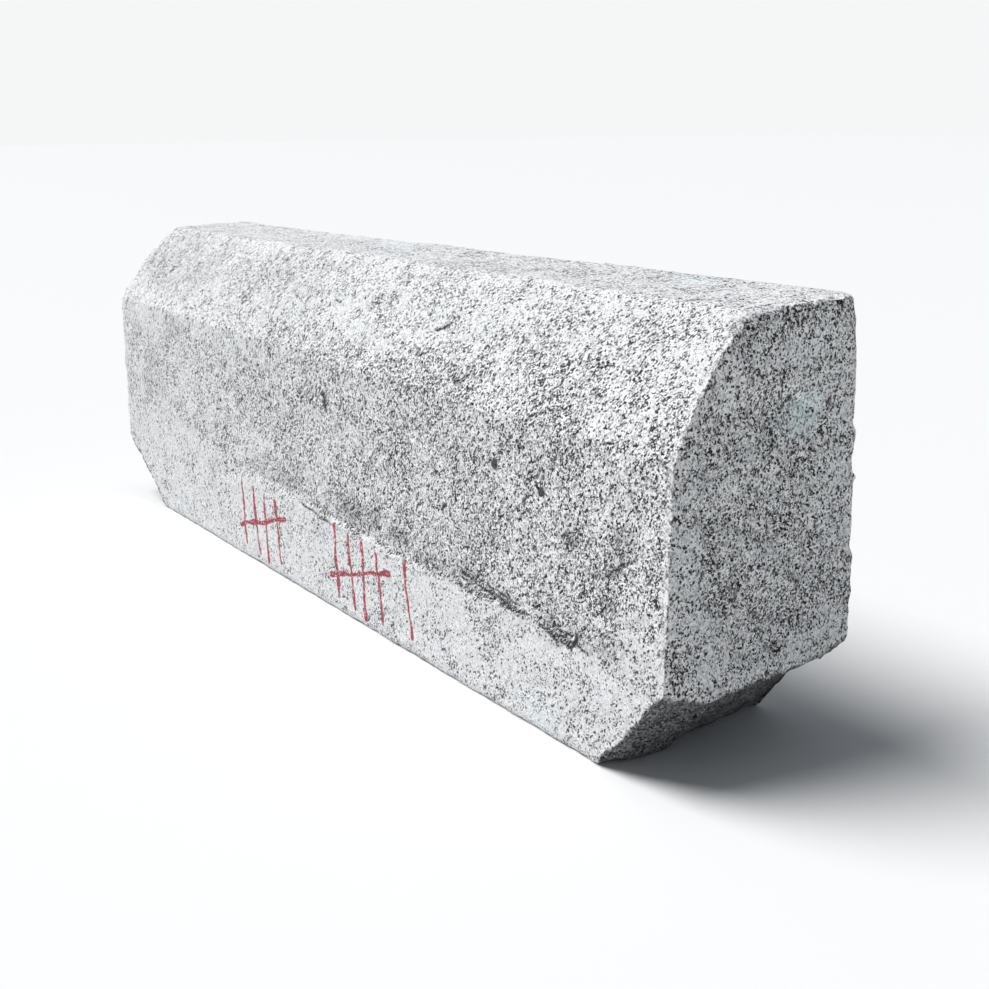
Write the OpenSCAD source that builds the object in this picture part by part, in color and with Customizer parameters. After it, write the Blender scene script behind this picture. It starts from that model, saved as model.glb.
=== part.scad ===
// Hewn granite kerb stone: one length of split stone with a dressed top, a broad
// bevel to the road, square joint ends and both lower corners broken away.
// X runs along the kerb, Y from the road face to the back, and the bed is at Z = 0.

/* [Stone] */
// Length along the kerb
stone_length = 950; // [720:10:1400]
// Greatest depth, from the foot of the road face to the belly of the back
stone_depth = 162; // [135:1:240]
// Height from the bed to the highest corner of the top
stone_height = 304; // [245:1:420]

/* [Top and bevel] */
// Depth from the foot of the road face to the front edge of the top
top_set_back = 62; // [30:1:80]
// Depth of the bevel below the highest corner of the top
bevel_drop = 90; // [50:1:120]
// How far the middle of the bevel stands proud of a straight slope
bevel_bulge = 7; // [1:0.5:10]
// Fall of the top from the back to the bevel
top_fall = 4; // [0.5:0.5:8]
// Fall of the top from one joint end to the other
end_fall = 4; // [0.5:0.5:8]
// How far the road face leans back between the bed and the bevel
face_batter = 5.5; // [0:0.5:12]

/* [Back] */
// Height of the dressed band under the back edge of the top
band_height = 42; // [20:1:70]
// How far the dressed band stands in from the belly of the back
band_set_in = 6; // [2:0.5:12]
// How far the split face steps in just under the band
band_step = 5; // [2:0.5:8]
// Height above the bed of the belly, where the stone is deepest
belly_height = 90; // [70:1:120]
// How far the back draws in from the belly down to the bed
bed_set_in = 5; // [0:0.5:12]
// Width of a split scar on the back
back_scar_width = 104; // [60:1:120]
// Depth of a split scar on the back
back_scar_depth = 5; // [2:0.5:8]

/* [Road face hollow] */
// Height of the ledge where the smooth lower band of the road face ends
ledge_height = 78; // [60:1:100]
// Depth of the rough hollow just above the ledge
hollow_depth = 6; // [2:0.5:10]
// Depth of the hollow at its shallow far end
hollow_far_depth = 0.5; // [0.5:0.5:4]
// Height at which the hollow runs out into the road face
hollow_top = 200; // [150:1:220]

/* [Joint ends] */
// Width of the rough hollow in a joint end
joint_hollow_width = 108; // [60:1:110]
// Depth of the rough hollow in a joint end
joint_hollow_depth = 4; // [1:0.5:6]
// Height of the middle of the joint hollow
joint_hollow_height = 168; // [150:1:180]
// Distance between the middles of the two strokes of the joint hollow
joint_hollow_stagger = 56; // [20:1:70]
// How far each stroke of the joint hollow lies off the middle of the end
joint_hollow_skew = 6; // [0:1:10]

/* [Broken corners] */
// Height of the broken corner on the near joint end
near_break_rise = 68; // [20:1:90]
// Run of that break along the foot of the road face
near_break_run = 63; // [20:1:150]
// Run of that break along the foot of the back
near_break_back_run = 76; // [20:1:150]
// Height of the broken corner on the far joint end
far_break_rise = 66; // [20:1:90]
// Run of that break along the foot of the road face
far_break_run = 108; // [20:1:200]
// Run of that break along the foot of the back
far_break_back_run = 122; // [20:1:200]
// Width of the scar in each broken corner
break_scar_width = 84; // [40:1:90]
// Depth of the scar in each broken corner
break_scar_depth = 5; // [1:0.5:8]

/* [Spalls] */
// Length of the long spall on the back edge of the top
edge_spall_length = 380; // [100:10:500]
// Depth of the long spall
edge_spall_depth = 4.5; // [1:0.5:8]
// Distance of its middle from the far joint end
edge_spall_place = 225; // [100:5:400]
// Width of the spall on the back top corner of the near end
corner_spall_width = 26; // [8:1:50]
// Depth of that spall
corner_spall_depth = 3; // [1:0.5:6]

/* [Hidden] */
$fn = 96;

near_x = stone_length / 2;
far_x = -near_x;
front_y = -stone_depth / 2;
belly_y = stone_depth / 2;
bevel_foot = stone_height - bevel_drop;
top_front_y = front_y + top_set_back;
top_front_z = stone_height - top_fall;
band_y = belly_y - band_set_in;
band_foot = stone_height - band_height;
split_top_y = band_y - band_step;
bevel_foot_y = front_y + face_batter;
reach = 3 * (stone_length + stone_height);

// Middle of the bevel, pushed out square to the straight slope
bevel_run = top_front_y - bevel_foot_y;
bevel_rise = top_front_z - bevel_foot;
bevel_slope = norm([bevel_run, bevel_rise]);
bevel_mid = [
    bevel_foot_y + bevel_run / 2 - bevel_bulge * bevel_rise / bevel_slope,
    bevel_foot + bevel_rise / 2 + bevel_bulge * bevel_run / bevel_slope
];

// The cross section, from the foot of the road face up over the top and down the back
section = [
    [front_y, 0],
    [bevel_foot_y, bevel_foot],
    bevel_mid,
    [top_front_y, top_front_z],
    [band_y, stone_height],
    [band_y, band_foot],
    [split_top_y, band_foot - band_step],
    [belly_y, belly_height],
    [belly_y - bed_set_in, 0]
];

// The wavy ledge, as distances from the near end and heights about the ledge's own height
ledge_line = [
    [54, 12], [97, -5], [120, 0], [143, 9], [160, 0], [263, -1],
    [324, -5], [374, 0], [446, 0], [504, 5], [614, 6], [664, -10]
];
// The right-hand edge of the hollow, beside the smooth margin of the near end
margin_line = [[28, 128], [13, 101], [17, 75], [25, 47]];
// Past this distance from the near end the hollow has faded out
hollow_length = 700;

// Depth of the road face at a height
function face_y(z) = front_y + face_batter * z / bevel_foot;
// Depth of the split back at a height
function split_y(z) = split_top_y + (belly_y - split_top_y)
    * (band_foot - band_step - z) / (band_foot - band_step - belly_height);

// Everything past the plane through three points, on the side their winding faces
module beyond(a, b, c) {
    n = cross(b - a, c - a);
    translate(a)
        rotate([0, acos(n.z / norm(n)), atan2(n.y, n.x)])
            translate([-reach / 2, -reach / 2, 0])
                cube(reach);
}

// A shallow scoop with a round outline, sunk into a surface at a point. The ball is turned
// so that its seam faces outward, clear of the part of it that cuts.
module scoop(at, outward, width, depth) {
    radius = (width * width / 4 + depth * depth) / (2 * depth);
    translate(at + (radius - depth) * outward / norm(outward))
        rotate([0, 0, atan2(outward.y, outward.x)])
            sphere(radius);
}

// The long prism of the cross section
module split_length() {
    translate([far_x, 0, 0])
        rotate([90, 0, 90])
            linear_extrude(stone_length)
                polygon(section);
}

// The part of the top that falls away towards the far end
module falling_top() {
    beyond(
        [near_x, top_front_y, top_front_z],
        [near_x, band_y, stone_height],
        [far_x, band_y, stone_height - end_fall]
    );
}

// A broken lower corner: a sloping plane with one scar in it
module broken_corner(end_x, side, rise, run, back_run) {
    front_foot = [end_x - side * run, front_y, 0];
    back_foot = [end_x - side * back_run, belly_y, 0];
    front_top = [end_x, front_y, rise];
    if (side > 0)
        beyond(front_foot, back_foot, front_top);
    else
        beyond(back_foot, front_foot, front_top);
    scoop(
        (front_foot + back_foot) / 4 + [end_x, 0, rise] / 2,
        [side * rise, 0, -(run + back_run) / 2],
        break_scar_width,
        break_scar_depth
    );
}

// The rough hollow in the road face, with its ledge below and its smooth margin beside it
module road_face_hollow() {
    outline = concat(
        [for (p = margin_line) [near_x - p.x, ledge_height + p.y]],
        [for (p = ledge_line) [near_x - p.x, ledge_height + p.y]],
        [[near_x - hollow_length, ledge_height], [near_x - hollow_length, hollow_top + 1]],
        [[near_x - margin_line[0].x, hollow_top + 1]]
    );
    intersection() {
        translate([0, front_y + stone_depth / 2, 0])
            rotate([90, 0, 0])
                linear_extrude(stone_depth)
                    polygon(outline);
        beyond(
            [near_x, face_y(ledge_height) + hollow_depth, ledge_height],
            [near_x, face_y(hollow_top), hollow_top],
            [near_x - hollow_length, face_y(ledge_height) + hollow_far_depth, ledge_height]
        );
    }
}

// The rough middle of a joint end, two overlapping scoops one above the other
module joint_hollow(end_x, side) {
    for (step = [-1, 1])
        scoop(
            [end_x, -step * joint_hollow_skew, joint_hollow_height + step * joint_hollow_stagger / 2],
            [side, 0, 0],
            joint_hollow_width,
            joint_hollow_depth
        );
}

// The scars of the split back, in two staggered rows that run along the stone
module back_scars() {
    rows = [for (share = [0.24, 0.72]) belly_height + share * (band_foot - belly_height)];
    columns = floor(stone_length / back_scar_width);
    pitch = stone_length / columns;
    for (row = [0, 1])
        for (i = [0 : columns - row])
            scoop(
                [
                    far_x + (i + row / 2) * pitch + 0.16 * pitch * sin(140 * i + 65 * row),
                    split_y(rows[row]),
                    rows[row] + 0.12 * back_scar_width * sin(97 * i + 30)
                ],
                [0.12 * sin(70 * i), 1, 0.1 * cos(55 * i + 90 * row)],
                back_scar_width * (1 + 0.16 * sin(111 * i + 50 * row)),
                back_scar_depth * (1 + 0.3 * cos(83 * i + 20 * row))
            );
}

// Stone flaked off the back edge of the top
module top_spalls() {
    scoop(
        [far_x + edge_spall_place, band_y, stone_height - end_fall * (1 - edge_spall_place / stone_length)],
        [0, 1, 1],
        edge_spall_length,
        edge_spall_depth
    );
    scoop([near_x, band_y, stone_height], [1, 1, 1], corner_spall_width, corner_spall_depth);
}

module kerb_stone() {
    color("lightgray")
        difference() {
            split_length();
            falling_top();
            broken_corner(near_x, 1, near_break_rise, near_break_run, near_break_back_run);
            broken_corner(far_x, -1, far_break_rise, far_break_run, far_break_back_run);
            road_face_hollow();
            joint_hollow(near_x, 1);
            joint_hollow(far_x, -1);
            back_scars();
            top_spalls();
        }
}

kerb_stone();
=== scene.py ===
# %% [markdown]
# # A hewn granite kerb stone
#
# This lesson builds one length of granite kerb: a block that was split from a bench of
# granite and then dressed by hand on the sides that show in the street. It has a flat top,
# a broad bevel to the road, square ends, a rough split back, and both lower corners are
# broken away.
#
# The imported model gives the stone's place and size. It is loaded first, and its box is kept, and every
# place on the stone is measured from it.

# %% Load the frame
import math
import bpy
import numpy as np
from mathutils import Matrix, Vector, noise


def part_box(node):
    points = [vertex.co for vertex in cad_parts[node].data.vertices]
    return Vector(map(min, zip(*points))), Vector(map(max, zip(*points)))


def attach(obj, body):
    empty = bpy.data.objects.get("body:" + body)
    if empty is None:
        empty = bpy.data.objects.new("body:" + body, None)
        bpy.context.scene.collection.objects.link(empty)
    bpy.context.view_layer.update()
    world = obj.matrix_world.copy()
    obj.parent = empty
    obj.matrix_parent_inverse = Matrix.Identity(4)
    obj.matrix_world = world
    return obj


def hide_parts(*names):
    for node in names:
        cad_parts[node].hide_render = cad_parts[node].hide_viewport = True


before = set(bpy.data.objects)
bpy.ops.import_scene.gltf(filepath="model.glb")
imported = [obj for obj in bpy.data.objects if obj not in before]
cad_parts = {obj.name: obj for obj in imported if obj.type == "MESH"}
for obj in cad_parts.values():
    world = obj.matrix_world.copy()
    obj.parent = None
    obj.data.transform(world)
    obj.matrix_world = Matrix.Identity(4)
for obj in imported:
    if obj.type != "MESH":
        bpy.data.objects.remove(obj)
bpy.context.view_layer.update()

low, high = (Vector(corner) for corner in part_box("kerb_stone"))
size = high - low
print("packed stone, m:", [round(side, 4) for side in size])

# %% [markdown]
# ## Places on the stone
#
# A mason measures a kerb from three faces: along from one joint end, in from the face of
# the road, and up from the bed. The same three measures, in millimetres, are used here,
# and one small function turns them into a point of the scene.

# %% Measuring from the faces
mm = 0.001


def at(along, deep, up):
    """A point, from millimetres along from the far end, in from the road and up from the bed."""
    return Vector((low.x + along * mm, low.y + deep * mm, low.z + up * mm))


length, depth, height = (side / mm for side in size)
print("length, depth, height, mm:", round(length), round(depth), round(height))

# %% [markdown]
# ## The cross section
#
# The stone's section can be read like a path that runs up the road face, over the bevel
# and the top, and down the back. The bevel is slightly round, because it was worked by
# eye, so it has three facets. The far end isn't quite like the near one: its bevel starts
# higher and is flatter, so it has a path of its own with as many points.

# %% Sections of the two ends
near_section = [
    (0, 0), (5.7, 214), (20, 245), (39, 274), (62, 300), (156, height), (depth, 90), (157, 0),
]
far_section = [
    (0, 0), (1.5, 221), (15, 240), (40, 270.5), (66, 296), (156, 299), (depth, 90), (157, 0),
]
print("section points:", len(near_section))

# %% [markdown]
# ## Splitting the block
#
# The block could be drawn as a polygon and extruded, but a mason starts with a squared
# block and takes corners off, and a bisect does the same: it cuts the mesh with a plane,
# throws away one side and fills the cut. Every face of the section becomes one such cut.
# The outward side of a path's step from one point to the next is on its left.

# %% A squared block
bpy.ops.object.select_all(action="DESELECT")
bpy.ops.mesh.primitive_cube_add(size=1, location=(low + high) / 2)
stone = bpy.context.object
stone.name = "granite_kerb_stone"
stone.scale = size
bpy.ops.object.transform_apply(location=True, rotation=False, scale=True)
print("block corners:", len(stone.data.vertices))


# %% Splitting off waste
def split_off(point, outward):
    """Takes away what lies past a plane and closes the cut."""
    bpy.ops.object.mode_set(mode="EDIT")
    bpy.ops.mesh.select_all(action="SELECT")
    bpy.ops.mesh.bisect(
        plane_co=point, plane_no=outward.normalized(), use_fill=True, clear_outer=True
    )
    bpy.ops.object.mode_set(mode="OBJECT")


for (start_deep, start_up), (end_deep, end_up) in zip(near_section, near_section[1:]):
    split_off(at(length, start_deep, start_up), Vector((0, start_up - end_up, end_deep - start_deep)))
print("faces of the long block:", len(stone.data.polygons))

# %% [markdown]
# ## The far end
#
# The faces so far are perfect planes from end to end. Moving the points of the far end to
# their own section gives each long face the slight twist of hand-worked stone. The points
# are selected in code, by their place.

# %% Working the far end
pick_reach = 0.4 * mm
for (near_deep, near_up), (far_deep, far_up) in zip(near_section, far_section):
    corner = at(0, near_deep, near_up)
    bpy.ops.object.mode_set(mode="EDIT")
    bpy.ops.mesh.select_mode(type="VERT")
    bpy.ops.mesh.select_all(action="DESELECT")
    bpy.ops.object.mode_set(mode="OBJECT")
    for vertex in stone.data.vertices:
        vertex.select = (vertex.co - corner).length < pick_reach
    bpy.ops.object.mode_set(mode="EDIT")
    bpy.ops.transform.translate(value=at(0, far_deep, far_up) - corner)
    bpy.ops.object.mode_set(mode="OBJECT")
print("far end top, mm:", round(max(v.co.z for v in stone.data.vertices if v.co.x < 0) / mm))

# %% [markdown]
# ## The broken corners
#
# Both lower corners were struck off from below when the block was split from the bench, so
# the stone would rest on its middle. Each break is close to a plane that runs up from the
# bed to the joint end, and it isn't quite square to the length. These cuts leave a little
# stone on, and the ragged breaks themselves are carved later.


# %% Breaking the lower corners
def plane_normal(a, b, c, outward):
    """The normal of the plane through three points, turned to the outward side."""
    normal = (b - a).cross(c - a).normalized()
    return normal if normal.dot(outward) > 0 else -normal


near_break = (at(length - 55, 0, 0), at(length - 66, depth, 0), at(length, 0, 55))
far_break = (at(102, 0, 0), at(115, depth, 0), at(0, 0, 60))
near_break_normal = plane_normal(*near_break, Vector((1, 0, -1)))
far_break_normal = plane_normal(*far_break, Vector((-1, 0, -1)))
split_off(near_break[0], near_break_normal)
split_off(far_break[0], far_break_normal)
print("bed length, mm:", round((near_break[0] - far_break[0]).length / mm))

# %% [markdown]
# ## Remembering the arrises
#
# An arris is a sharp edge between two dressed faces. The arrises chip first and they show
# bruised stone, so their ends are noted now, while they are still single edges, and the
# next step turns the block into thousands of small faces.

# %% List the arrises
sharp_turn = math.radians(30)
bpy.ops.object.mode_set(mode="EDIT")
bpy.ops.mesh.select_mode(type="EDGE")
bpy.ops.mesh.select_all(action="DESELECT")
bpy.ops.mesh.edges_select_sharp(sharpness=sharp_turn)
bpy.ops.object.mode_set(mode="OBJECT")
arrises = [
    tuple(stone.data.vertices[i].co.copy() for i in edge.vertices)
    for edge in stone.data.edges if edge.select
]
print("arrises:", len(arrises))

# %% [markdown]
# ## A fine, even mesh
#
# The relief of the stone needs small faces of one size everywhere. Loop cuts would bunch
# up at the slanted faces. A voxel Remesh instead wraps the whole block in even quads, and
# it takes the razor edge off each arris, as the first knocks do on a real one.

# %% Remesh the block
grain_mesh = 3.4 * mm
remesh = stone.modifiers.new("even_faces", "REMESH")
remesh.mode = "VOXEL"
remesh.voxel_size = grain_mesh
remesh.adaptivity = 0
bpy.context.view_layer.objects.active = stone
bpy.ops.object.modifier_apply(modifier=remesh.name)
count = len(stone.data.vertices)
print("vertices:", count)

# %% [markdown]
# ## Reading the mesh
#
# The rest of the shaping works from each vertex's place. The places are read into arrays
# once, as millimetres from the faces. The distance to the nearest arris is worked out for
# all the vertices together.


# %% Arrays of places
def read_vertices(field):
    """A row of three numbers for every vertex of the stone."""
    values = np.empty(count * 3)
    stone.data.vertices.foreach_get(field, values)
    return values.reshape(-1, 3)


points = read_vertices("co")
normals = read_vertices("normal")
places = (points - np.array(low)) / mm
along, deep, up = places.T


# %% Distance from an arris
def foot_on(a, b):
    """The point nearest to every vertex on the line between two points."""
    a, b = np.array(a), np.array(b)
    run = b - a
    share = np.clip((points - a) @ run / (run @ run), 0, 1)
    return a + share[:, None] * run


def distance_to(a, b):
    """Distance in millimetres of every vertex from the line between two points."""
    return np.linalg.norm(points - foot_on(a, b), axis=1) / mm


arris_distance = np.min([distance_to(a, b) for a, b in arrises], axis=0)
print("vertices within 5 mm of an arris:", int((arris_distance < 5).sum()))


# %% [markdown]
# ## Carving
#
# A Displace modifier with no texture moves each vertex by its weight in a vertex group,
# along an axis or along its normal. Sculpting by hand would do the same, but a weight can
# be worked out from the zones, so the carving is repeatable. A depth under zero counts as
# zero, so each cut goes one way only.


# %% Shape by weights
def shape_by(name, kind, weights, least, **settings):
    """Applies one modifier to the stone, as strongly at each vertex as its weight says."""
    group = stone.vertex_groups.new(name=name)
    for index in np.flatnonzero(weights > least):
        group.add([int(index)], float(weights[index]), "REPLACE")
    shaping = stone.modifiers.new(name, kind)
    shaping.vertex_group = name
    for setting, value in settings.items():
        setattr(shaping, setting, value)
    bpy.ops.object.modifier_apply(modifier=shaping.name)
    stone.vertex_groups.remove(stone.vertex_groups[name])


# %% Carve to a depth
deepest = 30.0
least_carved = 1e-4


def carve(name, depths, direction, sign):
    """Moves the surface one way along a direction, by a depth in millimetres at every vertex."""
    weights = np.clip(depths, 0, deepest) / deepest
    reach = sign * deepest * mm
    shape_by(name, "DISPLACE", weights, least_carved, direction=direction, mid_level=0, strength=reach)
    print(name, "deepest, mm:", round(float(weights.max()) * deepest, 1))


# %% [markdown]
# ## Crisp arrises
#
# The voxels have cut the arrises short by about a millimetre, so the block looks like a bar
# of soap. The vertices next to an arris are pulled out onto it, one axis after another.
# Every later cut goes inwards, so the stone never grows out of its packed size.

# %% Pull the arrises out
on_arris = points.copy()
nearest_arris = np.full(count, 0.62 * grain_mesh / mm)
for a, b in arrises:
    foot = foot_on(a, b)
    away = np.linalg.norm(points - foot, axis=1) / mm
    closer = away < nearest_arris
    nearest_arris[closer] = away[closer]
    on_arris[closer] = foot[closer]
pull = (on_arris - points) / mm
for axis, direction in enumerate("XYZ"):
    carve("pull_up_" + direction, pull[:, axis], direction, 1)
    carve("pull_down_" + direction, -pull[:, axis], direction, -1)

# %% [markdown]
# ## Noise that a whole face can share
#
# Natural relief is a sum of swells of different sizes. One function gives a smooth random
# field with swells of a chosen size, from -1 to 1, and another gives round flakes with
# ridges between them, deep in the middle and zero at the ridges. A seed shifts the field,
# so that no two uses are alike, and both give the same values on every run. A third one
# turns a distance or a slope into a soft border.


# %% Swells
def scaled_places(swell, stretch):
    """The place of every vertex, counted in swells of the given size in millimetres."""
    return places * np.array([1 / (swell * side) for side in stretch])


def swells(swell, seed, layers=1, stretch=(1, 1, 1)):
    """Smooth noise at every vertex, with swells of the given size in millimetres."""
    shift = Vector((seed * 17.3, seed * 9.1, seed * 31.7))
    scaled = scaled_places(swell, stretch)
    if layers == 1:
        return np.array([noise.noise(Vector(place) + shift) for place in scaled])
    return np.array([noise.fractal(Vector(place) + shift, 1.0, 2.0, layers) for place in scaled])


broad = swells(60, 1, layers=3)
medium = swells(22, 2, layers=3)
fine = swells(8, 3, layers=2)
print("broad swells from", round(broad.min(), 2), "to", round(broad.max(), 2))


# %% Flakes
def flakes(flake, seed, stretch=(1, 1, 1)):
    """Round hollows from 0 at their ridges to 1 in the middle, of the given size."""
    shift = Vector((seed * 13.7, seed * 23.9, seed * 5.3))
    scaled = scaled_places(flake, stretch)
    nearest = np.array([noise.voronoi(Vector(place) + shift)[0][0] for place in scaled])
    return np.clip(1 - (nearest / 0.75) ** 2, 0, 1)


def rise(value, start, end):
    """0 up to start, 1 from end on, smooth between them, and start may be the larger one."""
    share = np.clip((value - start) / (end - start), 0, 1)
    return share * share * (3 - 2 * share)


print("half-way of a rise:", rise(0.5, 0, 1))

# %% [markdown]
# ## Zones of tooling
#
# Each face was finished in its own way. The lower band of the road face, the bevel, the
# top and a margin around each end were dressed smooth with a bush hammer. The middle of the
# road face and of the ends stayed as rough as the pick left them. The back is split, and
# the broken corners are raw. A zone is a number from 0 to 1 at each vertex.

# %% The hollow of the road face
# The wavy ledge under the rough hollow, as places along and up
ledge_line = np.array([
    (250, 66), (286, 68), (336, 84), (446, 83), (504, 78), (576, 78), (626, 73), (687, 77),
    (769, 77), (794, 79), (807, 87), (830, 78), (853, 73), (870, 77), (896, 90), (925, 125),
])
# The end of the hollow beside the smooth margin of the near end, as heights and places along
margin_line = np.array([(77, 870), (90, 896), (125, 925), (153, 933), (179, 937), (206, 922)])
road_face = rise(-normals[:, 1], 0.6, 0.85) * rise(deep, 14, 11)
ledge_up = np.interp(along, ledge_line[:, 0], ledge_line[:, 1])
margin_along = np.interp(up, margin_line[:, 0], margin_line[:, 1])
above_ledge = up - ledge_up + 1.2 * fine
inside_margin = margin_along - along + 3 * medium
ledge_softness = 2.0 + 16 * rise(along, 852, 884)
hollow = (
    road_face
    * rise(above_ledge / ledge_softness, -0.7, 1.0)
    * rise(inside_margin, -2, 24)
    * rise(along + 25 * broad, 180, 330)
)
hollow_foot, hollow_top = 78, 212
run_out = np.clip((hollow_top - up) / (hollow_top - hollow_foot), 0, 1)
print("share of vertices in the hollow:", round(float((hollow > 0.5).mean()), 3))

# %% The rough middles of the joint ends
joint_end = np.abs(normals[:, 0]) > 0.7
middle_deep, middle_up = 78, 168
half_wide, half_high = 52, 92
across = np.abs(deep - middle_deep + 6 * medium) / half_wide
upright = np.abs(up - middle_up + 10 * broad) / half_high
joint_rough = joint_end * rise(1 - (across ** 3 + upright ** 3), 0.0, 0.35)
print("rough share of the joint ends:", round(float(joint_rough[joint_end].mean()), 2))

# %% The split back and the raw breaks
back = rise(normals[:, 1], 0.5, 0.8)
band_edge = 260 + 3.5 * medium + 5 * broad
split_back = back * rise(band_edge - up, -1.5, 2.5)
near_break_face = rise(normals @ np.array(near_break_normal), 0.80, 0.96)
far_break_face = rise(normals @ np.array(far_break_normal), 0.80, 0.96)
raw_break = np.maximum(near_break_face, far_break_face)
bed = rise(-normals[:, 2], 0.9, 0.97)
dressed = 1 - np.clip(hollow + joint_rough + split_back + raw_break + bed, 0, 1)
print("dressed share:", round(float(dressed.mean()), 2))


# %% [markdown]
# ## Arrises
#
# The arrises are nibbled all along, with a larger spall here and there. A chip is deepest
# on the arris and runs out a few millimetres into both faces. The edge between the road
# face and the bed is the cleanest, and the corners of the top are the most worn. The arris
# between the bevel and the top is worn round, so it isn't nibbled. The chips come first,
# while the normals beside each arris are still even.

# %% Nibble the arrises
bevel_top = (at(0, *far_section[4]), at(length, *near_section[4]))
round_arris = rise(distance_to(*bevel_top), 24, 5)
nibble = np.clip(0.45 + swells(10, 51, layers=2), 0, 1.4) * rise(arris_distance, 6.0, 0.5)
nibble = nibble * (1 - round_arris)
dressed_arris = rise(up, 60, 90)
spall = np.clip(swells(34, 52, layers=2) - 0.22, 0, 1) * rise(arris_distance, 13, 1) * dressed_arris
print("vertices with a spall:", int((spall > 0).sum()))

# %% Wear the corners of the top
from_ends = np.minimum(along, length - along)
end_corners = rise(from_ends, 10, 3) * rise(up, 270, 292) * rise(arris_distance, 10, 1)
end_corners = end_corners * np.clip(0.9 + 2.2 * fine, 0.2, 2.0)
top_nibble = rise(along, 938, 946) * rise(up, 288, 296) * rise(deep, 70, 100) * np.clip(0.3 + fine, 0, 1)
worn = 1.3 * nibble * (0.4 + 0.6 * dressed_arris) + 1.8 * end_corners + 2.0 * top_nibble
# A corner has further to go than a face, for the chip to come out flat
to_flat = np.clip(1 / np.abs(normals).max(axis=1), 1.0, 1.7)
chips = (worn + 4.0 * spall) * to_flat
carve("arris_chips", chips, "NORMAL", -1)

# %% [markdown]
# One spall is much longer than the others: on the far half of the stone, a shallow sliver
# has split off the back edge of the top. It is taken straight down, to a line that runs a
# few millimetres under the top.

# %% A long spall on the back edge of the top
top_line = np.interp(along, (0, length), (far_section[5][1], near_section[5][1]))
spall_depth = 3.5 * rise(along, 20, 70) * rise(along, 428, 408) * rise(deep, 144, 154)
long_spall = np.clip(up - top_line + spall_depth, 0, None) * (spall_depth > 0)
carve("long_spall", long_spall, "Z", -1)

# %% [markdown]
# ## Road face
#
# The hollow is deepest just above its ledge and runs out upwards into the face. Two kinds
# of marks are in it: broad swells where the pick took more or less, and rows of small dents.

# %% Carve the road face
pick_rows = swells(9, 11, layers=2, stretch=(1.0, 1.0, 2.2))
scoop = 3.4 * run_out ** 1.3 * (1 + 0.4 * medium) * rise(along, 230, 420)
hollow_depth = hollow * (scoop + 1.0 + 1.2 * broad + 1.1 * pick_rows)
carve("road_face_hollow", hollow_depth, "Y", 1)

# %% [markdown]
# ## Back
#
# Granite splits in shallow shells. Large and small flakes together give the scalloped
# face, and here and there it steps from one layer to the next. It leans too: the stone is
# thinnest just under the dressed band and thickest at the belly, near its foot.

# %% The split face
(top_back, _), (_, belly) = near_section[5:7]
lean = np.clip((up - belly) / (band_edge - belly), 0, 1)
# The squared block already leans in above the belly, and by this much
block_lean = np.where(up > belly, (up - belly) / (height - belly) * (depth - top_back), 0)
shelf = rise(swells(120, 24, layers=3, stretch=(1.5, 1, 0.7)), 0.02, 0.07)
split_depth = split_back * (
    11 * lean - block_lean + 3.5 * shelf
    + 5.5 * flakes(95, 21, stretch=(1.2, 1, 0.9))
    + 4.0 * flakes(38, 22, stretch=(1.1, 1, 0.8))
    + 1.4 * medium + 0.8 * fine
)
band_depth = back * (1 - split_back) * (0.4 + 0.8 * medium + 0.4 * fine)
print("split face deepest, mm:", round(float(split_depth.max()), 1))

# %% Carve the back
# At the near end the split shows as an edge, with two shells bitten out of it: heights and depths
edge_heights = (60, 73, 90, 102, 130, 157, 171, 191, 203, 215, 224, 240, 252, 265, 274, 304)
edge_depths = (0.0, 2.5, 1.5, 1.7, 0.6, 7.0, 13.3, 11.0, 5.5, 2.7, 9.0, 9.5, 7.0, 2.5, 0.7, 0.0)
edge_depth = back * (np.interp(up, edge_heights, edge_depths) + 0.8 * fine)
near_foot = rise(up, 85, 60)
at_near_edge = rise(along + 45 * near_foot, 880, 935)
back_depth = (1 - at_near_edge) * (split_depth + band_depth) + at_near_edge * edge_depth
carve("split_back", back_depth, "Y", -1)

# %% [markdown]
# ## Joint ends
#
# The middle of each joint end is hollowed a little, so that two stones meet at their smooth
# margins with mortar between them.

# %% Carve the joint ends
joint_depth = joint_rough * (2.6 + 1.6 * medium + 2.2 * fine + 1.5 * flakes(26, 31))
carve("far_joint", joint_depth * (normals[:, 0] < 0), "X", 1)
carve("near_joint", joint_depth * (normals[:, 0] > 0), "X", -1)

# %% [markdown]
# ## Breaks
#
# A break has an edge on the bed and a rim on the joint end, and both wander. The surface
# between them is close to straight, with shells and splinters in it. All the stone that is
# left below this surface is taken off: upwards next to the bed, and sideways next to the
# rim, so that the mesh isn't folded.


# %% Carve the breaks
def carve_break(name, from_end, run, rim, sideways):
    """Takes off what lies below a line from a run on the bed to a rim on the end, and says where."""
    shells = 5.0 * flakes(48, 41) + 3.5 * swells(26, 42, layers=3) + 1.4 * fine
    middle = rise(up, 2, 14) * rise(rim - up, 2, 14) * (0.25 + 0.75 * rise(deep, 150, 110))
    # Straight at the road face, and fuller toward the back
    fullness = np.interp(deep, (90, 150), (1.0, 1.4))
    surface = rim * (1 - (np.clip(from_end, 0, None) / run) ** fullness) + middle * shells + 1.2 * fine
    lacking = np.clip(surface - up, 0, None) * (from_end < run + 12)
    toward_rim = rise(up, 8, 42)
    carve(name + "_upwards", lacking * (1 - toward_rim), "Z", 1)
    carve(name + "_sideways", lacking * toward_rim * run / rim, "X", sideways)
    return rise(surface - up, -0.5, 1.5) * (from_end < run + 12)


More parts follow.
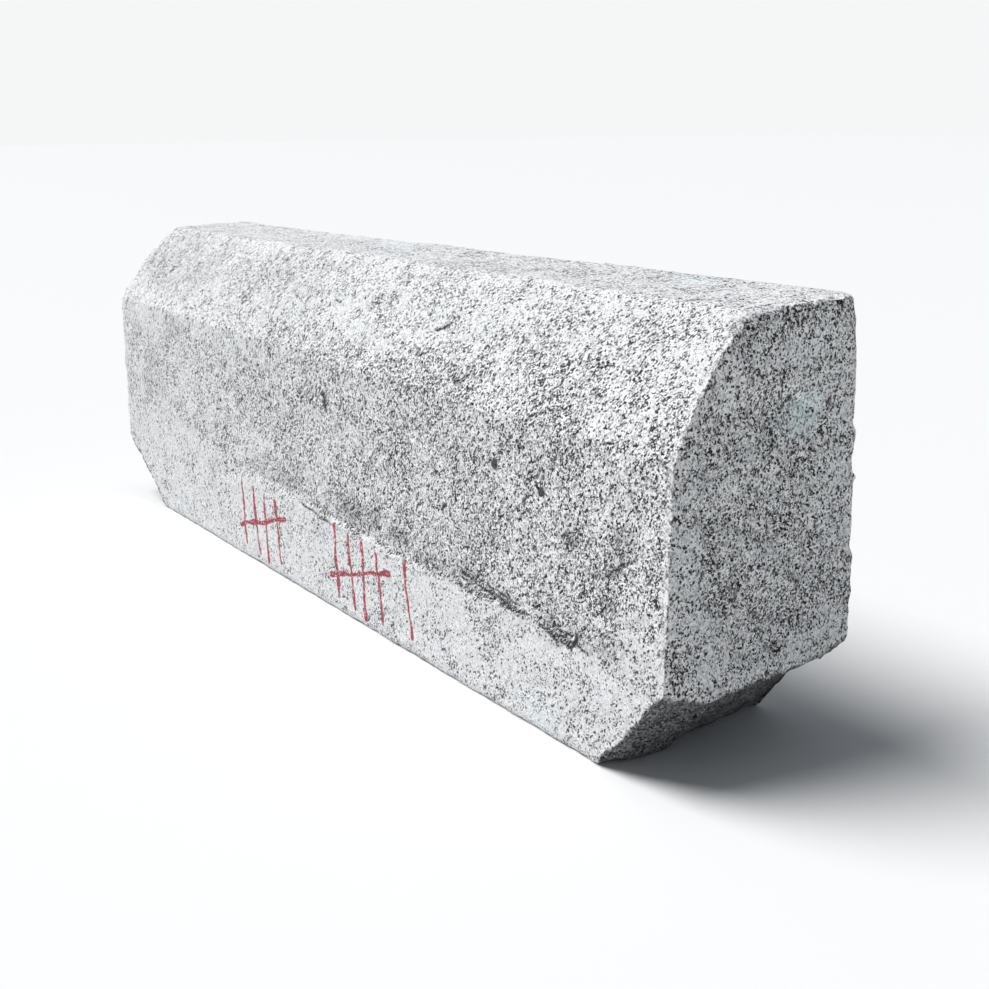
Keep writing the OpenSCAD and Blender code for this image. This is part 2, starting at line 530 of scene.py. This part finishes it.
# Places in from the road, with the run along the bed or the height of the rim at each
near_run = np.interp(deep, (0, 17, 45, 58, 76, 121, 142, 158), (67, 59, 57, 60, 69, 74, 79, 80))
near_rim = np.interp(deep, (0, 15, 37, 62, 99, 134, 158), (71, 66, 59, 61, 64, 68, 74))
near_raw = carve_break("near_break", length - along, near_run + medium, near_rim + medium, -1)
far_run = 107 + 0.09 * deep + 5 * swells(40, 43, layers=2, stretch=(9, 1, 9))
far_rim = 65 + 4 * swells(35, 44, layers=2, stretch=(9, 1, 9))
far_raw = carve_break("far_break", along, far_run, far_rim, 1)
near_raw = np.maximum(near_raw, near_break_face)
far_raw = np.maximum(far_raw, far_break_face)
raw_stone = np.maximum(near_raw, far_raw)

# %% [markdown]
# ## Tooth of the dressed faces and of the bed
#
# A bush-hammered face is level to about a millimetre and pitted all over. The bed is only
# knocked flat enough to lie in mortar, so it touches in patches.

# %% Tool marks all over
hammered = dressed * (0.7 + 0.7 * medium + 0.55 * fine)
bed_tooth = bed * (0.5 + 2.0 * np.clip(broad, 0, 1) + 1.0 * np.clip(medium, 0, 1) + 0.4 * fine)
carve("tool_marks", hammered + bed_tooth, "NORMAL", -1)

# %% [markdown]
# ## Settle the mesh
#
# The bevel runs into the top without a sharp edge, so a Smooth modifier rounds that one
# arris, and the near corner of the top's back edge too. Lighter passes at the other arrises
# take out any folds that deep chips have made. The top's back edge is passed over more
# often, because two cuts meet there, one from the top and one from the back.


# %% Smooth the arrises
def ease(name, closeness, factor, iterations):
    """Smooths the surface where a number from 0 to 1 says so."""
    least = 0.01
    shape_by(name, "SMOOTH", closeness, least, factor=factor, iterations=iterations)
    print(name, "vertices:", int((closeness > least).sum()))


ease("round_the_bevel", round_arris * (0.2 + 0.8 * rise(along, 0, 220)), 0.5, 30)
from_corner = distance_to(at(length, depth, height), at(length - 1, depth, height))
ease("round_the_corner", rise(from_corner, 13, 5), 0.5, 8)
ease("ease_folds", rise(arris_distance, 12, 4), 0.25, 1)
ease("ease_spalls", rise(arris_distance, 14, 6) * rise(chips, 1.8, 3.2), 0.5, 3)
back_edge = rise(deep, 146, 152) * rise(up, 286, 291) * rise(arris_distance, 9, 5)
ease("ease_back_edge", back_edge, 0.5, 16)

# %% [markdown]
# Whatever still stands proud of the block is pressed back to the block's own planes, so
# that the stone lies level and keeps its packed size.

# %% Press back what stands proud
carved = read_vertices("co")
for axis, direction in enumerate("XYZ"):
    carve("press_back_low_" + direction, (low[axis] - carved[:, axis]) / mm, direction, 1)
    carve("press_back_high_" + direction, (carved[:, axis] - high[axis]) / mm, direction, -1)

# %% [markdown]
# ## Masks for the finish
#
# The finish has to know where the stone is rough, where an arris was bruised and carries a painted
# highlight, where dirt and painted shade darken the road face, where soil and painted shade darken the
# breaks and the bed, and where there is a pale green bloom.
# Vertex groups don't reach the export, so the masks are stored as attributes of the mesh, and the
# material reads them by name.


# %% Store the masks
def store_mask(name, values):
    """Keeps one number per vertex under a name that the material can read."""
    mask = stone.data.attributes.new(name, "FLOAT", "POINT")
    mask.data.foreach_set("value", np.clip(values, 0, 1).astype(np.float32))
    print(name, "mean:", round(float(np.clip(values, 0, 1).mean()), 3))


# %% Roughness, and bruises with a painted highlight
on_front = rise(-normals[:, 1], 0.2, 0.5)
rough_top = np.interp(along, (0, 160, 450, 600, 850), (200, 206, 216, 238, 262)) + 16 * broad + 8 * medium
upper_face = on_front * rise(up + 20 * broad, 84, 110) * rise(up, rough_top + 14, rough_top - 16)
bevel_share = on_front * rise(up, 195, 225) * rise(up, 310, 285) * (0.22 + 0.14 * rise(along, 250, 700))
toward_far = 0.55 + 0.45 * rise(along, 120, 700)
end_share = 0.67 * joint_end + 0.33 * joint_rough + 0.40 * joint_end * rise(up, 268, 290)
top_share = 0.22 * rise(normals[:, 2], 0.85, 0.95)
back_share = 0.40 * back * (1 - split_back)
roughness_mask = np.maximum.reduce([
    0.95 * upper_face * toward_far, 0.9 * hollow * toward_far, bevel_share, top_share, end_share,
    back_share, 0.85 * split_back, raw_stone, 0.6 * bed,
])
store_mask("rough", roughness_mask + 0.35 * medium * (roughness_mask > 0.1))
# The pale arris line is bruised stone and a painted highlight, so it is kept off the shaded near end.
lit_side = rise(normals[:, 0], 0.75, 0.5) * rise(from_ends, 12, 7)
store_mask("bruise_and_highlight", rise(arris_distance, 8.5, 3.0) * (0.75 + 0.6 * fine) * lit_side)


# %% Stains under the ledge, and painted shade on the far bevel
def soft_patch(along_mm, up_mm, half_along, half_up):
    """A soft patch on the road face, in millimetres, with a ragged border."""
    away = np.hypot((along - along_mm) / half_along, (up - up_mm) / half_up) + 0.4 * medium
    return rise(away, 1.3, 0.3)


# Places along and up, half their extents, and how dark they are
stain_and_shade_places = [
    (380, 95, 60, 13, 0.35), (427, 96, 22, 10, 0.30), (246, 66, 16, 22, 0.25), (545, 96, 45, 12, 0.50),
    (620, 91, 25, 9, 0.45), (670, 82, 35, 9, 0.40), (728, 88, 28, 9, 0.45), (771, 81, 30, 6, 0.45),
    (836, 74, 24, 6, 0.50), (860, 79, 10, 7, 0.90), (885, 84, 26, 14, 0.55), (893, 112, 13, 9, 0.50),
    (897, 136, 18, 8, 0.40), (905, 154, 20, 12, 0.40), (846, 144, 14, 10, 0.40), (498, 181, 8, 11, 0.80),
    (155, 205, 22, 15, 0.40), (110, 262, 130, 34, 0.30), (340, 262, 130, 32, 0.18), (85, 150, 34, 34, 0.20),
]
# The two long patches 262 mm up lay a grey haze on the far bevel to darken it: painted shade.
stain_and_shade_mask = np.max([share * soft_patch(*patch) for *patch, share in stain_and_shade_places], axis=0)

# %% Dirt and painted shade along the ledge
# Places along, with how dark the ledge is at each
ledge_dark = np.interp(
    along,
    (420, 450, 510, 545, 640, 700, 740, 790, 803, 812, 830, 858, 868, 890),
    (0.0, 0.7, 0.6, 0.3, 0.4, 0.7, 0.9, 0.9, 0.3, 0.8, 1.0, 1.0, 0.5, 0.0),
)
# The dark band over the ledge's lip and step is dirt and painted shade: it also covers the lip where the
# sun would light it.
ledge_dirt_and_shade = ledge_dark * rise(above_ledge, -4.0, -0.5) * rise(above_ledge, 8, 2)
store_mask("dirt_and_painted_shade", on_front * np.maximum(stain_and_shade_mask, 0.65 * ledge_dirt_and_shade * (0.8 + 0.8 * medium)))

# %% Soil with painted shade, and bloom
# Places in from the road, with how much soil and painted shade darken the near break at each
near_soil_and_shade = np.interp(deep, (0, 35, 65, 160), (0.84, 0.87, 0.89, 0.90)) - 0.12 * rise(up, 34, 6)
# The breaks and the bed face down, and this mask darkens them: soil and painted shade. It eases off near
# the bed, where the floor's own shadow falls.
store_mask("soil_and_shade", np.maximum.reduce([near_soil_and_shade * near_raw, 0.76 * far_raw, 0.45 * bed]))


def blot(middle, radius):
    """A soft round mask about a place, in millimetres."""
    away = np.linalg.norm(places - np.array(middle), axis=1)
    return rise(away + 6 * medium, radius, 0.4 * radius)


# Middles, radii and how much has grown there
bloom_places = [
    ((948, 109, 231), 17, 1.0), ((948, 90, 229), 9, 0.6), ((413, 138, 302), 30, 0.35),
    ((810, 142, 303), 34, 0.35), ((818, 1, 10), 22, 0.35), ((162, 1, 12), 16, 0.30),
]
store_mask("bloom", np.max([share * blot(*patch) for *patch, share in bloom_places], axis=0))
stone.data.update()
shaded_turn = math.radians(38)
bpy.ops.object.shade_smooth_by_angle(angle=shaded_turn)

# %% [markdown]
# ## Granite
#
# Granite is a mix of crystals: white feldspar, grey glassy quartz and black mica. The
# pattern runs through the stone, so it is built on Object coordinates, in three dimensions,
# and no face needs unwrapping. Few nodes make many crystals: a Voronoi texture splits the
# stone into cells, and each cell's random value says what it is and how light.

# %% Helpers for nodes
granite = bpy.data.materials.new("granite")
granite.use_nodes = True
tree = granite.node_tree
tree.nodes.clear()


def add(kind, inputs=None, **settings):
    """Adds a node, sets or links its inputs, and returns it."""
    made = tree.nodes.new("ShaderNode" + kind)
    for name, value in settings.items():
        setattr(made, name, value)
    for key, value in (inputs or {}).items():
        if isinstance(value, bpy.types.NodeSocket):
            tree.links.new(value, made.inputs[key])
        else:
            made.inputs[key].default_value = value
    return made


def math_of(operation, first, second=0.0, third=0.0):
    """The result of one Math node."""
    return add("Math", {0: first, 1: second, 2: third}, operation=operation).outputs[0]


def vector_of(operation, first, second=(0, 0, 0)):
    """The vector that one Vector Math node makes."""
    return add("VectorMath", {0: first, 1: second}, operation=operation).outputs["Vector"]


def ramp(value, start, end, low_value=0.0, high_value=1.0):
    """A smooth step from one value to another."""
    made = add(
        "MapRange",
        {"Value": value, "From Min": start, "From Max": end, "To Min": low_value, "To Max": high_value},
        interpolation_type="SMOOTHSTEP",
    )
    return made.outputs["Result"]


def blend_colors(share, first, second):
    """One colour laid over another by a share."""
    return add("Mix", {0: share, 6: first, 7: second}, data_type="RGBA").outputs[2]


def mask_value(name):
    """One of the masks stored on the stone."""
    return add("Attribute", attribute_name=name).outputs["Fac"]


place = add("TexCoord").outputs["Object"]
place_axes = add("SeparateXYZ", {0: place})
rough, bruise_and_highlight, dirt_and_painted_shade, soil_and_shade, bloom = (
    mask_value(name) for name in ("rough", "bruise_and_highlight", "dirt_and_painted_shade", "soil_and_shade", "bloom")
)
print("nodes for the place and the masks:", len(tree.nodes))

# %% [markdown]
# ### Ragged crystals
#
# The coordinates are shaken by a fraction of a millimetre. Everything that is built on the
# shaken coordinates gets the same ragged edges, as grown-together crystals have. The chisel
# was drawn across the stone on the slant, and its bruises stretch the dark flecks the same
# way, so a Mapping node turns the coordinates and draws them out along the strokes.


# %% Shake and stretch the coordinates
def shaken(source, shaker, reach):
    """Places moved by the colours of a noise texture, as far as the reach says."""
    centred = vector_of("SUBTRACT", shaker.outputs["Color"], (0.5, 0.5, 0.5))
    return vector_of("ADD", source, vector_of("MULTIPLY", centred, reach))


shake = add("TexNoise", {"Vector": place, "Scale": 900.0, "Detail": 2.0, "Roughness": 0.6})
ragged = shaken(place, shake, (0.5 * mm, 0.5 * mm, 0.5 * mm))
stroke_slant = math.radians(-48)
drawn = add(
    "Mapping",
    {"Vector": ragged, "Rotation": (0, stroke_slant, 0), "Scale": (1.35, 1, 1)},
    vector_type="TEXTURE",
).outputs[0]


def noise_field(size_mm, detail=2.0, roughness=0.5, shift=0.0, source=place):
    """Noise with swells of the given size in millimetres, around 0.5."""
    moved = vector_of("ADD", source, (shift, shift * 0.7, -shift))
    texture = add(
        "TexNoise",
        {"Vector": moved, "Scale": 1 / (size_mm * mm), "Detail": detail, "Roughness": roughness},
    )
    return texture.outputs["Fac"]


clouds = noise_field(42, detail=3.0)
drifts = noise_field(13, detail=2.0, shift=0.31)
print("nodes so far:", len(tree.nodes))

# %% [markdown]
# ### Black mica
#
# Mica sits in flecks of about a millimetre, and many of them touch. A Voronoi texture
# splits the stone into cells, and a cell is mica if its random value falls under a share.
# The share rises with noise, so the flecks gather in clusters, and in the rough zones,
# because a hammer bruises the mica of a dressed face until much of it looks pale. The far
# part of the stone has fewer flecks.


# %% Flecks of mica
def flecks(size_mm, share, seed):
    """Mask of the cells whose random value is under a share, each with its own darkness."""
    moved = vector_of("ADD", drawn, (seed, seed, seed))
    mica_cells = add("TexVoronoi", {"Vector": moved, "Scale": 1 / (size_mm * mm), "Randomness": 1.0})
    values = add("SeparateColor", {"Color": mica_cells.outputs["Color"]})
    present = ramp(math_of("SUBTRACT", share, values.outputs[0]), -0.01, 0.01)
    return math_of("MULTIPLY", present, ramp(values.outputs[1], 0.0, 0.7, 0.5, 1.0))


print("nodes before the mica:", len(tree.nodes))

# %% Where the mica gathers
cluster = ramp(noise_field(4.0, detail=1.0, shift=0.77, source=drawn), 0.34, 0.66, 0.11, -0.09)
cloud_share = ramp(clouds, 0.36, 0.66, -0.05, 0.06)
drift_share = ramp(drifts, 0.36, 0.66, -0.05, 0.06)
toward_near = ramp(place_axes.outputs["X"], at(0, 0, 0).x, at(900, 0, 0).x, -0.05, 0.02)
patchy = math_of("ADD", math_of("ADD", cloud_share, drift_share), math_of("ADD", cluster, toward_near))
patchy = math_of("MULTIPLY_ADD", dirt_and_painted_shade, 0.20, patchy)

# %% Coarse flecks and small ones
coarse_share = math_of("ADD", patchy, math_of("MULTIPLY_ADD", rough, 0.18, 0.045))
small_share = math_of("ADD", patchy, math_of("MULTIPLY_ADD", rough, 0.10, 0.100))
coarse = flecks(1.4, coarse_share, 0.11)
small = flecks(0.95, small_share, 0.57)
mica = math_of("MAXIMUM", coarse, small)
print("nodes with the mica:", len(tree.nodes))

# %% [markdown]
# ### Feldspar and quartz
#
# The rest is pale. Each cell gets its own lightness: most are white feldspar, and some are
# quartz, which looks grey because it lets light through. On a dressed face a film of stone
# powder evens them out.

# %% The pale crystals
cells = add("TexVoronoi", {"Vector": ragged, "Scale": 1 / (1.2 * mm), "Randomness": 1.0})
lots = add("SeparateColor", {"Color": cells.outputs["Color"]})
tone, quartz_lot = lots.outputs[0], lots.outputs[1]
lightness = math_of("POWER", tone, ramp(rough, 0.0, 1.0, 1.0, 0.4))
grey_feldspar = (0.62, 0.625, 0.635, 1)
white_feldspar = (1.0, 1.0, 1.0, 1)
feldspar = blend_colors(lightness, grey_feldspar, white_feldspar)
is_quartz = ramp(quartz_lot, 0.66, 0.70)
quartz_strength = math_of("MULTIPLY", is_quartz, math_of("MULTIPLY_ADD", rough, 0.10, 0.45))
grey_quartz = (0.24, 0.245, 0.255, 1)
pale = blend_colors(quartz_strength, feldspar, grey_quartz)
powder_share = math_of("MULTIPLY", math_of("SUBTRACT", 1.0, rough), 0.40)
stone_powder = (0.72, 0.725, 0.735, 1)
pale = blend_colors(powder_share, pale, stone_powder)
print("nodes with the pale crystals:", len(tree.nodes))

# %% [markdown]
# ### Laying the mica in
#
# The flecks are nearly black in the rough zones. On a dressed face they are bruised to a dark grey, and
# along an arris to a pale one, which is bruised stone and a painted highlight. Dirt sits in the hollow
# under the pick marks, with painted shade along the ledge; soil and painted shade darken the broken corners
# and the bed, and a pale green bloom has grown in a few places.

# %% Mix the crystals
bruised_mica = (0.030, 0.031, 0.034, 1)
whole_mica = (0.012, 0.012, 0.014, 1)
body = blend_colors(mica, pale, blend_colors(rough, bruised_mica, whole_mica))
bruised_stone_and_highlight = (0.90, 0.905, 0.91, 1)
# A pale line along the arrises: bruised stone and a painted highlight.
body = blend_colors(math_of("MULTIPLY", bruise_and_highlight, 0.45), body, bruised_stone_and_highlight)
print("nodes with the mica laid in:", len(tree.nodes))

# %% Grime with painted shade, soil with painted shade, and bloom
grime_and_shade_patches = ramp(noise_field(3.0, detail=3.0, shift=0.9, source=drawn), 0.36, 0.60, 0.1, 0.75)
grime_and_shade_color = (0.050, 0.051, 0.053, 1)
# A dark grey haze where the mask says: dirt, with painted shade along the ledge and on the far bevel.
body = blend_colors(math_of("MULTIPLY", dirt_and_painted_shade, grime_and_shade_patches), body, grime_and_shade_color)
# The soil mask multiplies the colour down to under a tenth: soil and painted shade on the breaks and the
# bed.
soil_and_shade_tint = (0.08, 0.08, 0.083)
soiled_and_shaded = vector_of("MULTIPLY", body, soil_and_shade_tint)
soil_and_shade_patch = ramp(noise_field(1.6, detail=2.0, shift=5.3), 0.40, 0.60, 0.86, 1.10)
body = blend_colors(math_of("MULTIPLY", soil_and_shade, soil_and_shade_patch), body, soiled_and_shaded)
bloom_patch = ramp(noise_field(1.9, detail=3.0, shift=1.7), 0.42, 0.55, 0.0, 0.95)
bloom_share = math_of("MULTIPLY", math_of("MULTIPLY", bloom, bloom_patch), ramp(tone, 0.0, 0.7, 0.35, 1.0))
bloom_color = (0.84, 0.99, 1.0, 1)
body = blend_colors(bloom_share, body, bloom_color)
print("nodes with the bloom:", len(tree.nodes))

# %% [markdown]
# ### Small pits
#
# A few round pits, about a centimetre wide, are painted nearly black. Each one is a ball in the stone's own
# space, so it only shows where the surface passes through it.


# %% Pits
def pit(along_mm, deep_mm, up_mm, radius):
    """A dark round spot at a place on the stone."""
    away = add("VectorMath", {0: place, 1: at(along_mm, deep_mm, up_mm)}, operation="DISTANCE")
    return ramp(away.outputs["Value"], radius * mm, 0.6 * radius * mm, 0.0, 0.92)


pits = 0.0
for spot in ((759, 5, 177, 5.0), (814, 5, 169, 5.0), (856, 3, 76, 4.2)):
    pits = math_of("MAXIMUM", pits, pit(*spot))
pit_color = (0.024, 0.024, 0.026, 1)
body = blend_colors(pits, body, pit_color)
print("nodes with the pits:", len(tree.nodes))

# %% [markdown]
# ### Strokes
#
# Some marks are long and thin: scratches that dirt has filled, lines along the ledge that are dirt and
# painted shade, and paint. A stroke is the set of places near a line from one point to another, seen from
# the road. The places are shaken a little by noise, so that the line looks drawn by hand.

# %% A stroke across the road face
wobble = add("TexNoise", {"Vector": place, "Scale": 45.0, "Detail": 1.0})
brushed = vector_of("MULTIPLY", shaken(ragged, wobble, (5 * mm, 0, 5 * mm)), (1, 0, 1))
face_only = ramp(place_axes.outputs["Y"], at(0, 60, 0).y, at(0, 50, 0).y)


def stroke(start, end, half_width, soft=0.5):
    """Mask of a stroke between two places, given as millimetres along and up."""
    first, last = at(start[0], 0, start[1]), at(end[0], 0, end[1])
    first.y = last.y = 0
    run = last - first
    from_first = vector_of("SUBTRACT", brushed, first)
    share = add("VectorMath", {0: from_first, 1: run / run.length_squared}, operation="DOT_PRODUCT")
    on_stroke = add("Clamp", {"Value": share.outputs["Value"]}).outputs[0]
    along_stroke = add("VectorMath", {0: run, "Scale": on_stroke}, operation="SCALE").outputs[0]
    away = add("VectorMath", {0: from_first, 1: along_stroke}, operation="DISTANCE").outputs["Value"]
    return ramp(math_of("SUBTRACT", away, half_width), soft * mm, -0.4 * mm)


print("nodes before the strokes:", len(tree.nodes))

# %% Dirt in the scratches, and painted shade along the ledge
# From and to, as places along and up, and half the width
scratch_and_ledge_shade_lines = (
    ((447, 81), (508, 74), 0.3), ((712, 86), (745, 81), 0.4), ((743, 81), (765, 80), 0.5),
    ((763, 80), (792, 77), 0.9), ((752, 85), (790, 82), 0.2), ((790, 77), (802, 81), 1.0),
    ((815, 79), (834, 76), 0.9), ((832, 76), (850, 73), 1.4), ((824, 80), (848, 78), 0.4),
    ((853, 71), (857, 79), 2.2), ((860, 77), (872, 74), 0.3), ((884, 127), (911, 145), 0.6),
    ((646, 256), (658, 261), 0.9), ((318, 152), (327, 156), 0.5), ((699, 227), (710, 231), 0.6),
    ((495, 188), (499, 172), 1.3),
)
# The first eleven lines run along the ledge's step and are dirt and painted shade; the others are scratches
# that dirt has filled.
scratches_and_ledge_shade = 0.0
for start, end, half_width in scratch_and_ledge_shade_lines:
    scratches_and_ledge_shade = math_of("MAXIMUM", scratches_and_ledge_shade, stroke(start, end, half_width * mm, soft=1.4))
smear = ramp(noise_field(1.5, detail=2.0, shift=4.2, source=drawn), 0.38, 0.54, 0.25, 1.0)
scratches_and_ledge_shade = math_of("MULTIPLY", math_of("MULTIPLY", scratches_and_ledge_shade, face_only), smear)
scratch_and_ledge_shade_color = (0.014, 0.014, 0.016, 1)
body = blend_colors(scratches_and_ledge_shade, body, scratch_and_ledge_shade_color)
print("nodes with the scratches:", len(tree.nodes))

# %% [markdown]
# ### A painted tally
#
# The yard counted its stones with strokes of red paint on the lower band of the road face:
# four uprights and one across make five. The paint is thin, so it skips the hollows between
# the grains.

# %% Two gates of five and one more
# Half the width of a stroke, which swells where the brush is full
brush_load = ramp(noise_field(20, shift=2.6), 0.40, 0.62, 1.4 * mm, 2.6 * mm)
post_gap = 25
# The head and the foot of each post, up from the bed, and how far the foot is to the right
posts = ((75, 15, 9), (73, 12, 13), (71, 9, 8), (69, 13, 12))
tally = [((634, 72), (646, 14))]
for gate in (318, 512):
    for number, (head, foot_up, slant) in enumerate(posts):
        left = gate + post_gap * number
        tally.append(((left, head), (left + slant, foot_up)))
    tally.append(((gate - 6, 30), (gate + 98, 58)))
paint = 0.0
for start, end in tally:
    paint = math_of("MAXIMUM", paint, stroke(start, end, brush_load))
print("painted strokes:", len(tally))

# %% Paint that skips the hollows
coverage = ramp(noise_field(2.4, detail=2.0, shift=3.1), 0.36, 0.46, 0.35, 0.95)
paint = math_of("MULTIPLY", math_of("MULTIPLY", paint, face_only), coverage)
red_paint = (0.36, 0.020, 0.042, 1)
body = blend_colors(paint, body, red_paint)
print("nodes with the tally:", len(tree.nodes))

# %% [markdown]
# ### Relief too fine for the mesh
#
# Crystals break at different heights. A Bump node reads the same cells for the pits of the
# mica, and noise for the tooth of the surface and for the strokes of the chisel. It is
# stronger where the stone is rough.

# %% Relief
tooth = math_of("MULTIPLY_ADD", noise_field(2.2, detail=3.0, roughness=0.65), 0.8, tone)
relief = math_of("SUBTRACT", tooth, math_of("MULTIPLY", mica, 0.6))
chisel = noise_field(6, detail=2.0, shift=2.0, source=drawn)
relief = math_of("ADD", relief, math_of("MULTIPLY", chisel, 1.8))
relief = math_of("SUBTRACT", relief, math_of("MULTIPLY", pits, 1.5))
bump = add(
    "Bump",
    {"Strength": ramp(rough, 0.0, 1.0, 0.40, 0.75), "Distance": 1.1 * mm, "Height": relief},
)
print("nodes with the relief:", len(tree.nodes))

# %% The shader
finish = add(
    "BsdfPrincipled",
    {
        "Base Color": body,
        "Roughness": ramp(mica, 0.0, 1.0, 0.82, 0.5),
        "Specular IOR Level": 0.3,
        "Normal": bump.outputs[0],
    },
)
add("OutputMaterial", {"Surface": finish.outputs[0]})
stone.data.materials.clear()
stone.data.materials.append(granite)
print("granite nodes:", len(tree.nodes))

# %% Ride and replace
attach(stone, "root")
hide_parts("kerb_stone")
print(stone.name, "triangles:", sum(len(face.vertices) - 2 for face in stone.data.polygons))

# %% [markdown]
# ## Stage, light and camera
#
# The stone stands on a pale floor. A soft, high sun lights the road face and the top, and
# leaves the near end in its own shade, with the light of a pale sky in it.

# %% Floor
bpy.ops.object.select_all(action="DESELECT")
bpy.ops.mesh.primitive_plane_add(size=60, location=(0, 0, 0))
floor = bpy.context.object
floor.name = "studio_floor"
floor_paint = bpy.data.materials.new("studio_floor")
floor_paint.use_nodes = True
floor_shader = floor_paint.node_tree.nodes["Principled BSDF"]
floor_shader.inputs["Base Color"].default_value = (0.80, 0.80, 0.80, 1)
floor_shader.inputs["Roughness"].default_value = 0.9
floor.data.materials.append(floor_paint)
print("floor, m:", floor.dimensions.x)

# %% Sun
sun_data = bpy.data.lights.new("soft_sun", "SUN")
sun_data.energy = 3.7
sun_data.angle = math.radians(35)
sun = bpy.data.objects.new("soft_sun", sun_data)
bpy.context.collection.objects.link(sun)
sun_from = Vector((-0.36, -0.38, 0.90))
sun.rotation_euler = sun_from.to_track_quat("Z", "Y").to_euler()
print("sun above the floor, degrees:", round(math.degrees(math.asin(sun_from.normalized().z))))

# %% [markdown]
# The sky lights the stone a little, and it should look as pale as the floor behind the
# stone. One background gives the light and another one is only seen: a Light Path node
# tells the world which of the two is asked for.

# %% Sky
sky = bpy.data.worlds.new("studio_sky")
sky.use_nodes = True
bpy.context.scene.world = sky
sky_nodes, sky_links = sky.node_tree.nodes, sky.node_tree.links
sky_light = sky_nodes["Background"]
sky_light.inputs["Color"].default_value = (0.84, 0.92, 1.0, 1)
sky_light.inputs["Strength"].default_value = 0.22
sky_seen = sky_nodes.new("ShaderNodeBackground")
sky_seen.inputs["Color"].default_value = (0.985, 0.995, 1.0, 1)
sky_seen.inputs["Strength"].default_value = 0.93
either = sky_nodes.new("ShaderNodeMixShader")
asked = sky_nodes.new("ShaderNodeLightPath")
sky_links.new(asked.outputs["Is Camera Ray"], either.inputs[0])
sky_links.new(sky_light.outputs[0], either.inputs[1])
sky_links.new(sky_seen.outputs[0], either.inputs[2])
sky_links.new(either.outputs[0], sky_nodes["World Output"].inputs["Surface"])
print("sky nodes:", len(sky_nodes))

# %% Camera
camera_data = bpy.data.cameras.new("camera")
camera_data.lens = 51.66
camera_lean = math.radians(-0.42)
camera = bpy.data.objects.new("camera", camera_data)
bpy.context.collection.objects.link(camera)
camera_place = Vector((1.0887, -0.5988, 0.4075))
looks_at = Vector((0.1683, 0.0, 0.1191))
aim = (looks_at - camera_place).to_track_quat("-Z", "Y").to_matrix()
leaning_aim = aim @ Matrix.Rotation(camera_lean, 3, "Z")
camera.matrix_world = Matrix.Translation(camera_place) @ leaning_aim.to_4x4()
bpy.context.scene.camera = camera
bpy.context.scene.view_settings.view_transform = "Standard"
print("camera from the stone, m:", round((looks_at - camera_place).length, 2))
